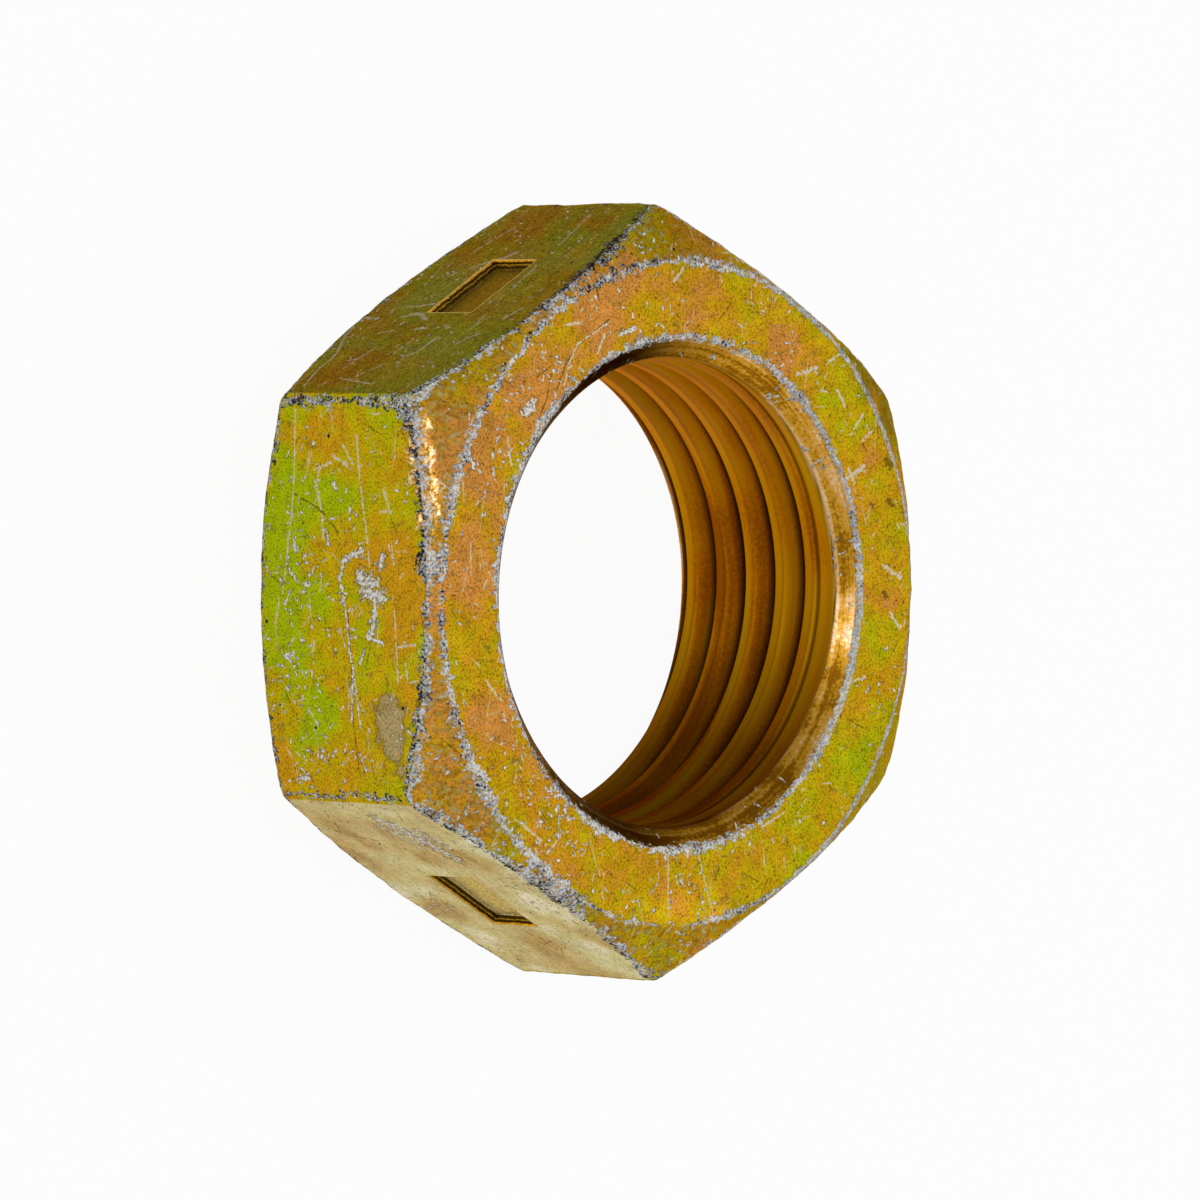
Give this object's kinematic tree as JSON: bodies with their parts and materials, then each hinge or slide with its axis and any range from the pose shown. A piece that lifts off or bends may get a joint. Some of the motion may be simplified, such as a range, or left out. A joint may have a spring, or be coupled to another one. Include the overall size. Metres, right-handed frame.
{
  "type": "threaded hex nut",
  "caption": "Thin hexagonal nut with a right-hand internal thread, chamfered corners, countersunk mouths and a shallow stamped pocket on every second flat.",
  "frame": {"origin": "in the middle of the hexagon, at the lower face that the nut lies on; the thread's axis stands 0.2 mm from it towards +X", "axes": "+Z along the thread's axis, out of the face that the picture shows; two corners of the hexagon lie on the Y axis and two flats face along the X axis"},
  "size_m": [0.0254, 0.0292, 0.0096],
  "materials": {
    "yellow_zinc": "steel with a yellow chromate zinc plating, satin and scratched, worn to bare zinc along its edges"
  },
  "bodies": {
    "root": {"hex_nut": "yellow_zinc"}
  },
  "joints": []
}
